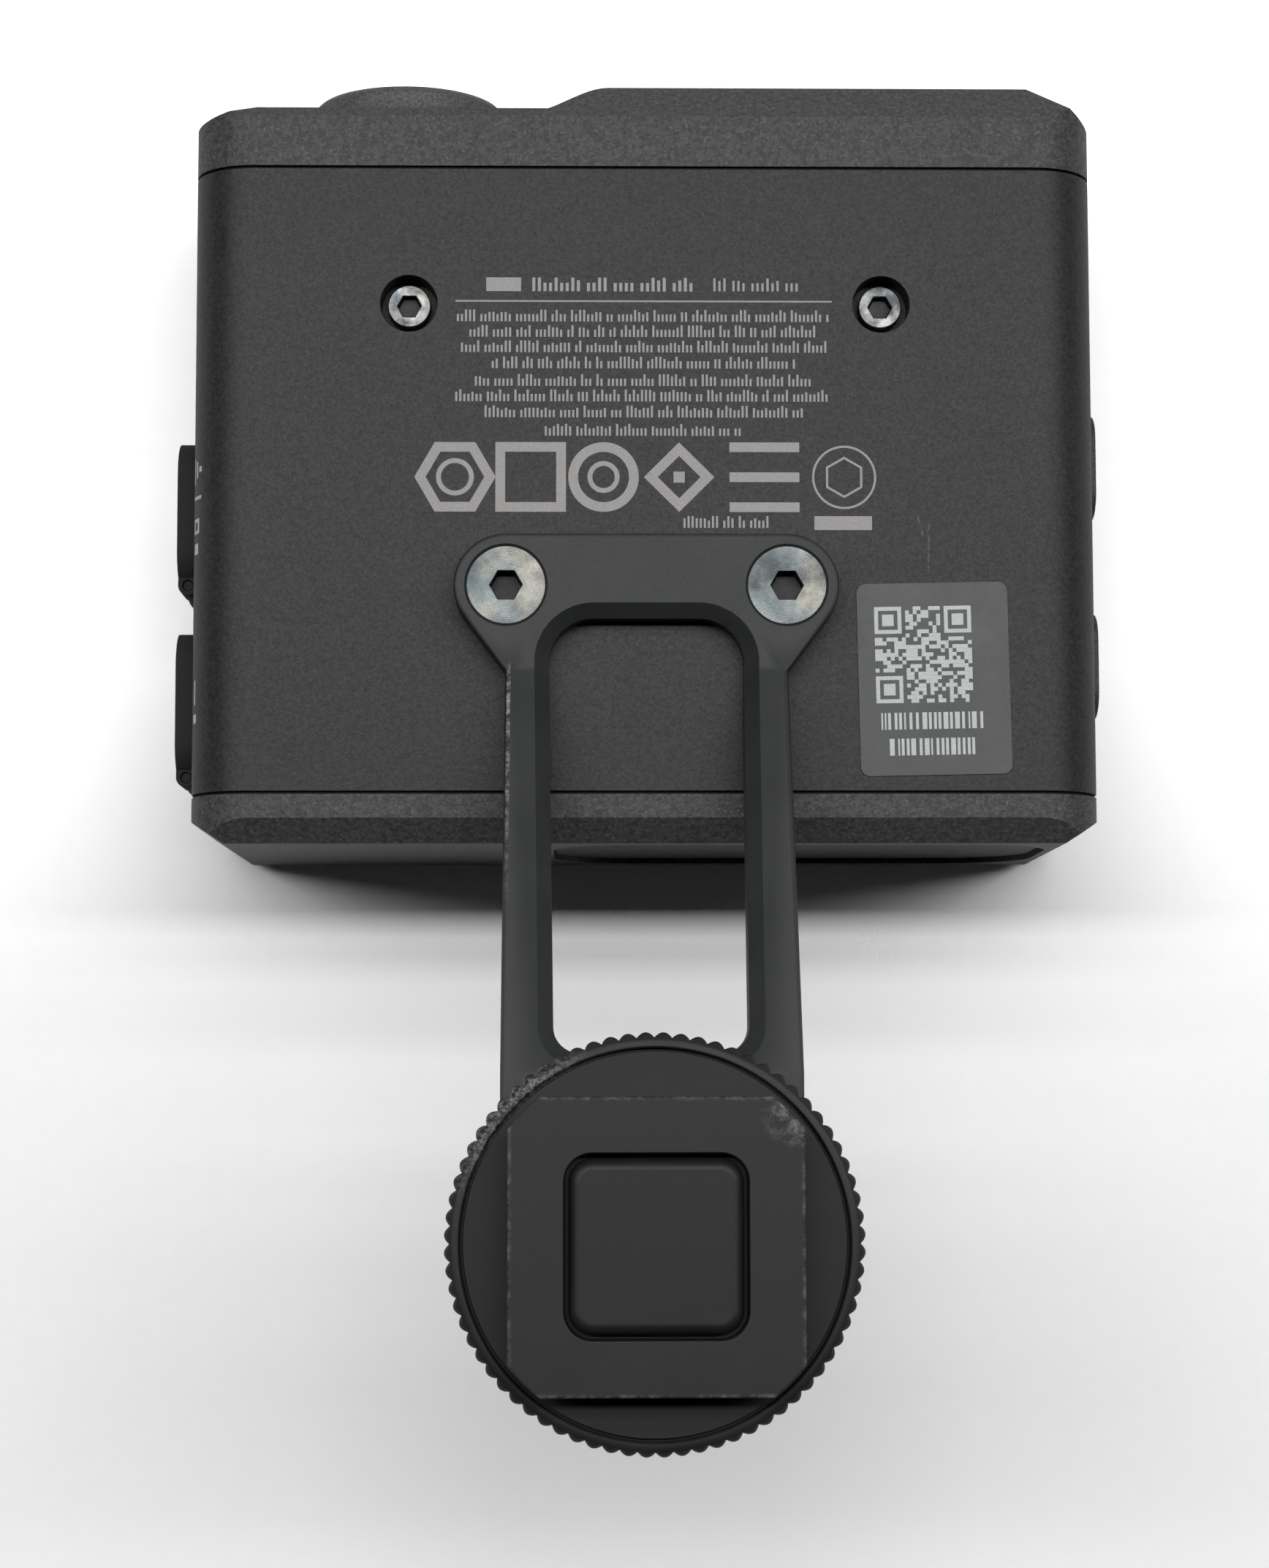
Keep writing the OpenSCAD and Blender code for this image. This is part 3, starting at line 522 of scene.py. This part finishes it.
# %% Finishes for the pieces kept as they are
KEPT = {
    "seal_rubber": ("front_seal", "rear_seal"),
    "plain_steel": ("board_screws", "cover_screws", "stud_nut", "pad_clip"),
    "shield_metal": ("board_shield", "port_sockets"),
    "chassis_metal": ("chassis_plate",),
    "inner_plastic": ("lidar_holder", "button_switches"),
    "board_green": ("camera_board", "rangefinder_board", "main_board", "port_board", "side_board"),
    "camera_glass": ("camera_lens",),
    "beam_glass": ("emitter_lens", "receiver_lens"),
    "cover_rubber": ("cover_straps",),
}
FINISHES = {"seal_rubber": seal_rubber, "plain_steel": plain_steel, "shield_metal": shield_metal,
            "chassis_metal": chassis_metal, "inner_plastic": inner_plastic,
            "board_green": board_green, "camera_glass": camera_glass, "beam_glass": beam_glass,
            "cover_rubber": cover_rubber}
for finish, kept_nodes in KEPT.items():
    for node in kept_nodes:
        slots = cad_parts[node].data.materials
        slots.clear()
        slots.append(FINISHES[finish])
print(sum(len(kept) for kept in KEPT.values()), "pieces keep their construction mesh")

# %% [markdown]
# The three shells keep their construction shape. Their moulded edges get a radius of a tenth or
# two of a millimetre, which is what catches the light along the parting lines and chamfers.

# %% Shells, trim and ring
front_cover = rounded_part("front_cover", "front_shell", "housing", "cover_plastic",
                           cover_plastic, 0.16 * MM, 3, 18)
mid_housing = rounded_part("mid_housing", "middle_shell", "housing", "housing_plastic",
                           housing_plastic, 0.07 * MM, 2, 30)
rear_cover = rounded_part("rear_cover", "rear_shell", "housing", "cover_plastic",
                          cover_plastic, 0.10 * MM, 2, 18)
rounded_part("lens_ring", "flared_ring", "housing", "ring_plastic", ring_plastic, 0.12 * MM, 2, 30)
rounded_part("rear_trim", "rear_panel", "housing", "trim_plastic", trim_plastic, 0.12 * MM, 2, 30)
for piece in (front_cover, mid_housing, rear_cover):
    print(piece.name, len(piece.data.polygons), "faces")


# %% [markdown]
# The camera barrel, the window and the label are small, but each sits in full view on its side.
# The barrel is turned, so it gets the wheel's black film. The label is a film with soft corners.

# %% Barrel, window and label
barrel_metal = black_anodised("black barrel", 0.012)
rounded_part("camera_barrel", "turned_barrel", "housing", "barrel_metal", barrel_metal, 0.06 * MM, 2, 30)
rounded_part("lidar_window", "ranging_glass", "housing", "window_glass", window_glass, 0.12 * MM, 3, 30)
rounded_part("label_sticker", "grey_label", "housing", "label", label_grey, 0.03 * MM, 2, 30)

# %% [markdown]
# The arm is milled from one bar. The cutter leaves a one millimetre chamfer round the inside of
# the U opening, on the plate and down both legs, and a finer one round the outside. Selecting
# those edges by their place and bevelling them in two passes makes the same shape.

# %% Arm
GAP_NEAR_PLATE, GAP_NEAR_WHEEL = -10.45 * MM, PLATE_LO.y + 21.8 * MM
GAP_HALF = 6.95 * MM
INNER_CHAMFER, OUTER_CHAMFER = 1.0 * MM, 0.35 * MM


def facing(face):
    return face.normal.z


def top_meets_wall(edge):
    tilts = sorted(abs(facing(f)) for f in edge.link_faces)
    upward = max(facing(f) for f in edge.link_faces) > 0.5
    return upward and tilts[0] < 0.2 and tilts[1] > 0.5


def in_opening(edge):
    middle = (edge.verts[0].co + edge.verts[1].co) / 2
    inside_x = abs(middle.x) < GAP_HALF
    inside_y = GAP_NEAR_WHEEL < middle.y < GAP_NEAR_PLATE + 0.05 * MM
    return top_meets_wall(edge) and inside_x and inside_y


def on_outline(edge):
    middle = (edge.verts[0].co + edge.verts[1].co) / 2
    off_screw = Vector((abs(middle.x) - ARM_SCREW_X, middle.y - ARM_SCREW_Y)).length
    outside = abs(middle.x) > 8 * MM or middle.y > ARM_SCREW_Y + 3 * MM or middle.y < WHEEL_LO.y + 20 * MM
    return top_meets_wall(edge) and outside and off_screw > 3.3 * MM


arm = merged_copy("arm", "bent_arm")
print(select_edges(arm, in_opening), "edges round the opening")
bevel_selected(INNER_CHAMFER, 1)
print(select_edges(arm, on_outline), "edges round the outline")
bevel_selected(OUTER_CHAMFER, 2)
round_edges(arm, 0.07 * MM, 2, 32)
smooth(arm, 30)
set_on(arm, "housing", "black_metal", arm_metal, "arm")

# %% [markdown]
# The foot is a plain square plate with clipped corners, so its edges are only broken. The pad in
# its window is softer: upright corners and a generous roll round its face.

# %% Foot and pad
rounded_part("shoe_foot", "square_foot", "housing", "black_metal", foot_metal, 0.10 * MM, 2, 30)

PAD_LO, PAD_HI, PAD_MID = corners("foot_pad")
PAD_SIDE = PAD_HI.x - PAD_LO.x
PAD_THICK, PAD_CORNER, PAD_ROLL = 1.05 * MM, 1.5 * MM, 0.75 * MM


def straight_up(edge):
    a, b = edge.verts[0].co, edge.verts[1].co
    return abs(a.z - b.z) > 0.5 * (a - b).length


bpy.ops.object.select_all(action="DESELECT")
bpy.ops.mesh.primitive_cube_add(size=1, location=(PAD_MID.x, PAD_MID.y, PAD_HI.z - PAD_THICK / 2),
                                scale=(PAD_SIDE, PAD_SIDE, PAD_THICK))
pad = bpy.context.object
bpy.ops.object.transform_apply(location=True, rotation=True, scale=True)
pad.name = pad.data.name = "square_pad"
select_edges(pad, straight_up)
bevel_selected(PAD_CORNER, 8)


def pad_rim(edge):
    return all(v.co.z > PAD_HI.z - 0.01 * MM for v in edge.verts) and edge.calc_face_angle() > 1


select_edges(pad, pad_rim)
bevel_selected(PAD_ROLL, 7)
smooth(pad, 50)

bpy.ops.object.select_all(action="DESELECT")
STEM_TOP = PAD_HI.z - PAD_THICK
bpy.ops.mesh.primitive_cylinder_add(vertices=48, radius=1.25 * MM, depth=STEM_TOP - PAD_LO.z,
                                    location=(PAD_MID.x, PAD_MID.y, (STEM_TOP + PAD_LO.z) / 2))
stem = bpy.context.object
stem.name = stem.data.name = "pad_stem"
bpy.ops.object.transform_apply(location=True)
round_edges(stem, 0.15 * MM, 2, 60)
smooth(stem)
set_on(stem, "pad", "pad_metal", pad_metal)
set_on(pad, "pad", "pad_metal", pad_metal, "foot_pad")

# %% [markdown]
# The coil spring under the pad keeps its construction shape and its place on the housing, with
# smoothed shading and a mesh of its own.

# %% Pad spring
spring = merged_copy("pad_spring", "coil_spring")
smooth(spring, 50)
set_on(spring, "housing", "steel", plain_steel, "pad_spring")
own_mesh(spring)


# %% [markdown]
# The wheel is turned, then knurled with straight rounded ridges. A ring of points is extruded
# through the profile of the rim, and the points of the knurled band are then pushed out and in
# by a wave that runs round the rim once for each ridge.

# %% Clamp wheel
RIDGES, RIDGE_STEPS = 72, 10
WHEEL_R = (WHEEL_HI.x - WHEEL_LO.x) / 2
WHEEL_T = WHEEL_HI.z - WHEEL_LO.z
RIDGE_DEPTH = 0.36 * MM
BORE_R, RECESS_R, RECESS_DEPTH = 4.06 * MM, 12.35 * MM, 0.7 * MM
VALLEY_R = WHEEL_R - RIDGE_DEPTH


def wheel_profile():
    # (radius, height, how much of the ridge wave applies), from the bore round the outside
    top = WHEEL_T
    return [(BORE_R, top - RECESS_DEPTH, 0), (RECESS_R - 0.06 * MM, top - RECESS_DEPTH, 0),
            (RECESS_R, top - RECESS_DEPTH + 0.06 * MM, 0), (RECESS_R, top - 0.1 * MM, 0),
            (RECESS_R + 0.1 * MM, top, 0), (VALLEY_R - 0.18 * MM, top, 0),
            (VALLEY_R - 0.04 * MM, top - 0.10 * MM, 0.0), (VALLEY_R, top - 0.28 * MM, 0.55),
            (VALLEY_R, top - 0.50 * MM, 0.92), (VALLEY_R, top - 0.75 * MM, 1),
            (VALLEY_R, 0.75 * MM, 1), (VALLEY_R, 0.50 * MM, 0.92), (VALLEY_R, 0.28 * MM, 0.55),
            (VALLEY_R - 0.04 * MM, 0.10 * MM, 0), (VALLEY_R - 0.3 * MM, 0, 0),
            (11.4 * MM, 0, 0), (11.3 * MM, 0.5 * MM, 0), (6.5 * MM, 0.5 * MM, 0),
            (6.4 * MM, 0, 0), (BORE_R, 0, 0)]


def ridge_wave(turned):
    # A rounded tooth with a narrower valley: 0 in the valley, 1 on the crest
    phase = (turned * RIDGES / (2 * math.pi)) % 1
    return abs(math.cos(math.pi * (phase - 0.5))) ** 0.8


bpy.ops.object.select_all(action="DESELECT")
bpy.ops.mesh.primitive_circle_add(vertices=RIDGES * RIDGE_STEPS, radius=BORE_R, fill_type="NOTHING",
                                  location=(0, 0, WHEEL_T - RECESS_DEPTH))
wheel = bpy.context.object
wheel.name = wheel.data.name = "knurled_wheel"
bpy.ops.object.transform_apply(location=True)
bpy.ops.object.mode_set(mode="EDIT")
bpy.ops.mesh.select_all(action="SELECT")
profile = wheel_profile()
for (r0, z0, _), (r1, z1, _) in zip(profile, profile[1:]):
    bpy.ops.mesh.extrude_edges_move(TRANSFORM_OT_translate={"value": (0, 0, z1 - z0)})
    bpy.ops.transform.resize(value=(r1 / r0, r1 / r0, 1), center_override=(0, 0, 0))
bpy.ops.mesh.select_all(action="DESELECT")
bpy.ops.mesh.select_mode(type="EDGE")
bpy.ops.mesh.select_non_manifold(extend=False)
bpy.ops.mesh.bridge_edge_loops()
bpy.ops.mesh.select_all(action="SELECT")
bpy.ops.mesh.normals_make_consistent(inside=False)
bpy.ops.object.mode_set(mode="OBJECT")

share_at = {round(z / MM, 3): share for r, z, share in profile if r == VALLEY_R}
for vertex in wheel.data.vertices:
    radius = math.hypot(vertex.co.x, vertex.co.y)
    share = share_at.get(round(vertex.co.z / MM, 3), 0)
    if share and radius > RECESS_R + 0.2 * MM:
        wave = ridge_wave(math.atan2(vertex.co.y, vertex.co.x) % (2 * math.pi))
        grown = (radius + share * RIDGE_DEPTH * wave) / radius
        vertex.co.x *= grown
        vertex.co.y *= grown
wheel.location = (WHEEL_MID.x, WHEEL_MID.y, WHEEL_LO.z)
activate(wheel)
bpy.ops.object.transform_apply(location=True)
smooth(wheel, 40)
set_on(wheel, "wheel", "black_metal", wheel_metal, "clamp_wheel")
print("wheel has", len(wheel.data.vertices), "points")


# %% [markdown]
# The disc under the foot, the screws, buttons and port covers keep their construction shape. Only
# their edges are rounded, each to the radius that its process leaves.

# %% Small parts
disc_metal = black_anodised("disc film", 0.008)
rounded_part("pressure_disc", "thrust_disc", "disc", "disc_plastic", disc_metal, 0.08 * MM, 2, 30)
rounded_part("arm_screws", "plate_screws", "housing", "blued_steel", arm_screw_steel, 0.07 * MM, 2, 30)
rounded_part("case_screws", "small_screws", "housing", "steel", case_screw_steel, 0.10 * MM, 2, 30)
for node, name in (("button_front", "front_button"), ("button_rear", "rear_button")):
    rounded_part(node, name, node, "button_plastic", button_plastic, 0.14 * MM, 2, 30)
for node, name, body in (("port_cover_front", "front_flap", "cover_front"),
                         ("port_cover_rear", "rear_flap", "cover_rear")):
    rounded_part(node, name, body, "cover_rubber", cover_rubber, 0.22 * MM, 3, 30)


# %% [markdown]
# The mounting face is printed in light grey. Nothing on this part is lettering: each line of print
# is a row of fine ruled ticks of seeded lengths, and the row below holds plain shapes. Each mark is
# a flat piece of ink a hundredth of a millimetre thick, made in edit mode from planes and rings.

# %% Helpers for print
INK = 0.012 * MM


def begin_print(name):
    mesh = bpy.data.meshes.new(name)
    piece = bpy.data.objects.new(name, mesh)
    bpy.context.scene.collection.objects.link(piece)
    activate(piece)
    bpy.ops.object.mode_set(mode="EDIT")
    return piece


def bar(x0, y0, x1, y1):
    # A filled rectangle between two corners, in millimetres
    centre = ((x0 + x1) / 2 * MM, (y0 + y1) / 2 * MM, 0)
    bpy.ops.mesh.primitive_plane_add(size=MM, location=centre)
    bpy.ops.transform.resize(value=(abs(x1 - x0), abs(y1 - y0), 1), center_override=centre)


def ring(x, y, radius, stroke, sides=48, turned=0.0):
    # An outline with that many sides: a circle, or a square, hexagon or diamond
    centre = (x * MM, y * MM, 0)
    bpy.ops.mesh.primitive_circle_add(vertices=sides, radius=radius * MM, location=centre,
                                      rotation=(0, 0, math.radians(turned)), fill_type="NOTHING")
    bpy.ops.mesh.extrude_edges_move()
    inner = (radius - stroke / math.cos(math.pi / sides)) / radius
    bpy.ops.transform.resize(value=(inner, inner, 1), center_override=centre)


def end_print(piece, place, turned, material, bend=None):
    # Turns the flat marks into thin slabs of ink, then sets them on the surface
    bpy.ops.object.mode_set(mode="OBJECT")
    mesh = bmesh.new()
    mesh.from_mesh(piece.data)
    for face in mesh.faces:
        if face.normal.z < 0:
            face.normal_flip()
    mesh.to_mesh(piece.data)
    mesh.free()
    slab = piece.modifiers.new("ink", "SOLIDIFY")
    slab.thickness, slab.offset = INK, 0.5
    bpy.ops.object.modifier_apply(modifier=slab.name)
    if bend is not None:
        for vertex in piece.data.vertices:
            vertex.co = bend(vertex.co)
    piece.location, piece.rotation_euler = place, (0, 0, turned)
    bpy.ops.object.transform_apply(location=True, rotation=True)
    return set_on(piece, "housing", "label", material)


# %% [markdown]
# The ticks of a line stand in groups, as words do, so that the block of print has the right tone
# from afar.

# %% Print on the mounting face
dice = random.Random(11)


def tick_line(y, x0, x1, tall=0.85, pitch=0.29, thick=0.15):
    x = x0
    while x < x1 - pitch:
        for _ in range(dice.randint(2, 9)):
            if x > x1 - pitch:
                break
            high = tall * dice.choice((0.62, 0.62, 0.8, 1.0))
            bar(x, y - tall / 2, x + thick, y - tall / 2 + high)
            x += pitch
        x += pitch * 0.8


face_print = begin_print("face_print")
tick_line(14.0, -8.1, 3.6, 1.0, 0.40, 0.22)
tick_line(14.0, 4.9, 11.4, 0.95, 0.36, 0.16)
bar(-11.4, 13.5, -8.9, 14.5)
bar(-13.6, 12.72, 13.4, 12.84)
for y, half in ((11.72, 13.5), (10.60, 12.6), (9.48, 13.2), (8.31, 11.0), (7.03, 12.2), (5.91, 13.6),
                (4.75, 11.5), (3.42, 7.2)):
    tick_line(y, -half, half)
tick_line(-3.24, 2.7, 9.0)
bar(12.05, -3.81, 16.17, -2.81)
print(len(face_print.data.polygons), "marks so far")

# %% Row of plain shapes
ROW_Y, ROW_TALL = 0.0, 2.52
STROKE = 0.7
ring(-13.6, ROW_Y, 2.9, STROKE, 6, 30)
ring(-13.6, ROW_Y, 1.35, STROKE / 2)
ring(-8.2, ROW_Y, ROW_TALL * math.sqrt(2), STROKE, 4, 45)
ring(-3.0, ROW_Y, ROW_TALL, STROKE)
ring(-3.0, ROW_Y, 1.15, STROKE / 2)
ring(2.4, ROW_Y, ROW_TALL, STROKE, 4, 0)
bar(2.0, -0.4, 2.8, 0.4)
for step in range(3):
    bar(6.0, 1.82 - 2.17 * step, 11.0, 2.52 - 2.17 * step)
ring(14.2, ROW_Y, 2.3, 0.16)
ring(14.2, ROW_Y, 1.5, 0.16, 6, 0)
end_print(face_print, (0, 0, TOP + INK / 4), 0, face_ink)

# %% [markdown]
# The label carries a square of random modules with three square corners, and two rows of bars.

# %% Print on the label
_, LABEL_HI, LABEL_MID = corners("label_sticker")
LABEL_TURN = math.radians(1.1)
LABEL_W, LABEL_H = 10.8, 13.8
MODULES, GRID = 25, 6.9
CELL = GRID / MODULES
GRID_X, GRID_Y = -LABEL_W / 2 + 1.24, LABEL_H / 2 - 1.7
EYE = 7


def in_eye(column, row):
    left, top = column <= EYE, row <= EYE
    return (left or column >= MODULES - EYE - 1) and top or left and row >= MODULES - EYE - 1


label_print = begin_print("label_print")
for row in range(MODULES):
    start = None
    for column in range(MODULES + 1):
        filled = column < MODULES and not in_eye(column, row) and dice.random() < 0.58
        if filled and start is None:
            start = column
        if not filled and start is not None:
            top = GRID_Y - row * CELL
            bar(GRID_X + start * CELL, top - CELL * 1.02, GRID_X + column * CELL, top)
            start = None
for column, row in ((0, 0), (MODULES - EYE, 0), (0, MODULES - EYE)):
    x, y = GRID_X + (column + EYE / 2) * CELL, GRID_Y - (row + EYE / 2) * CELL
    ring(x, y, EYE / 2 * CELL * math.sqrt(2), CELL, 4, 45)
    bar(x - 1.5 * CELL, y - 1.5 * CELL, x + 1.5 * CELL, y + 1.5 * CELL)
for centre, x0, x1 in ((9.90, 1.55, 9.0), (11.75, 2.1, 8.45)):
    left, middle = x0 - LABEL_W / 2, LABEL_H / 2 - centre
    while left < x1 - LABEL_W / 2 - 0.4:
        right = left + dice.choice((0.12, 0.2, 0.2, 0.34))
        bar(left, middle - 0.6, right, middle + 0.6)
        left = right + dice.choice((0.12, 0.16, 0.26))
end_print(label_print, (LABEL_MID.x, LABEL_MID.y, LABEL_HI.z + INK / 4), LABEL_TURN, label_ink)

# %% [markdown]
# Beside each port cover, small white bars and squares run over the rounded edge. They are drawn
# flat, with x as the distance round the edge, cut fine, and then wrapped round its radius.

# %% Marks on the rounded edge
EDGE_R = 4.5 * MM


def wrap_round_edge(point):
    around = point.x / EDGE_R
    reach = EDGE_R + point.z
    return Vector((HOUSE_LO.x + EDGE_R - reach * math.sin(around), point.y,
                   TOP - EDGE_R + reach * math.cos(around)))


edge_print = begin_print("edge_print")
for x0, y0, x1, y1 in ((4.45, 0.75, 4.85, 1.15), (5.1, 0.35, 5.35, 1.55), (5.7, -0.05, 5.95, 1.85),
                       (4.5, -1.2, 6.1, -0.95), (4.8, -3.7, 5.9, -3.45), (4.8, -2.85, 5.9, -2.6),
                       (4.8, -3.45, 5.05, -2.85), (5.65, -3.45, 5.9, -2.85), (4.95, -5.2, 5.75, -4.4),
                       (5.25, -16.1, 5.5, -14.3), (5.05, -17.4, 5.7, -16.75)):
    bar(x0, y0, x1, y1)
bpy.ops.mesh.select_all(action="SELECT")
bpy.ops.mesh.subdivide(number_cuts=5)
end_print(edge_print, (0, 0, 0), 0, side_ink, wrap_round_edge)
print("edge print", len(edge_print.data.polygons), "faces")

# %% [markdown]
# The floor is a pale sweep of paper. Three long ceiling tubes run from side to side, one behind the
# other. Long tubes blur every shadow except that of the housing's long rear edge, which falls in
# three short steps. The room is dark on the near side and pale on the far side and to the right.

# %% Floor and light
bpy.ops.object.select_all(action="DESELECT")
bpy.ops.mesh.primitive_plane_add(size=3)
floor = bpy.context.object
floor.name = floor.data.name = "floor"


def paper():
    # Only the camera sees the paper's white, with light painted on it; the object is lit by a plain pale
    # floor
    f = Finish("white paper", 0.9, specular=0.1)
    x, y, _ = f.axes()
    # Painted light: the camera sees the paper brightest behind the object, and a little brighter at both
    # sides than in the middle
    behind = f.math("ADD", f.span(y, -0.036, -0.010, 1.12, 1.65), f.span(y, -0.045, -0.036, -0.02, 0.04))
    painted_floor_light = f.math("ADD", behind, f.span(f.math("ABSOLUTE", x), 0.010, 0.026, 0.0, 0.10))
    fibre = f.span(f.noise(1.2 * MM, 4.0, 0.6), 0.3, 0.7, 0.985, 1.015)
    white = f.math("MULTIPLY", painted_floor_light, fibre)
    seen = f.node("ShaderNodeLightPath").outputs["Is Camera Ray"]
    plain = 0.8
    level = f.math("MULTIPLY_ADD", seen, f.math("SUBTRACT", white, plain), plain)
    colour = f.node("ShaderNodeCombineColor", Red=level, Green=level, Blue=level).outputs["Color"]
    return f.dress(Base_Color=colour)


floor.data.materials.append(paper())


FAR_RIGHT = (0.74, 0.66, 0.12)
DARK_SIDE, PALE_WALL = 0.10, 2.0


def room():
    # A pale wall at the far right, and a dark room on the near side
    world = bpy.data.worlds.new("room")
    bpy.context.scene.world = world
    world.use_nodes = True
    nodes, links = world.node_tree.nodes, world.node_tree.links
    way = nodes.new("ShaderNodeTexCoord").outputs["Generated"]
    slope = nodes.new("ShaderNodeVectorMath")
    slope.operation = "DOT_PRODUCT"
    slope.inputs[1].default_value = FAR_RIGHT
    links.new(way, slope.inputs[0])
    ramp = nodes.new("ShaderNodeMapRange")
    ramp.interpolation_type = "SMOOTHSTEP"
    ramp.inputs["From Min"].default_value, ramp.inputs["From Max"].default_value = 0.2, 0.85
    ramp.inputs["To Min"].default_value, ramp.inputs["To Max"].default_value = DARK_SIDE, PALE_WALL
    links.new(slope.outputs["Value"], ramp.inputs["Value"])
    links.new(ramp.outputs["Result"], nodes["Background"].inputs["Strength"])


room()


LAMP_HEIGHT, TUBE_LENGTH, TUBE_WIDTH = 0.7, 1.8, 0.065
LIT_Y = -0.02
for name, lean, power in (("near tube", 10.2, 4.3), ("middle tube", 18.5, 2.1), ("far tube", 30, 1.6)):
    data = bpy.data.lights.new(name, "AREA")
    data.shape, data.size, data.size_y, data.energy = "RECTANGLE", TUBE_LENGTH, TUBE_WIDTH, power
    tube = bpy.data.objects.new(name, data)
    bpy.context.scene.collection.objects.link(tube)
    lean = math.radians(lean)
    tube.location = (0.02, LIT_Y + LAMP_HEIGHT * math.tan(lean), TOP + LAMP_HEIGHT)
    tube.rotation_euler = (-lean, 0, 0)
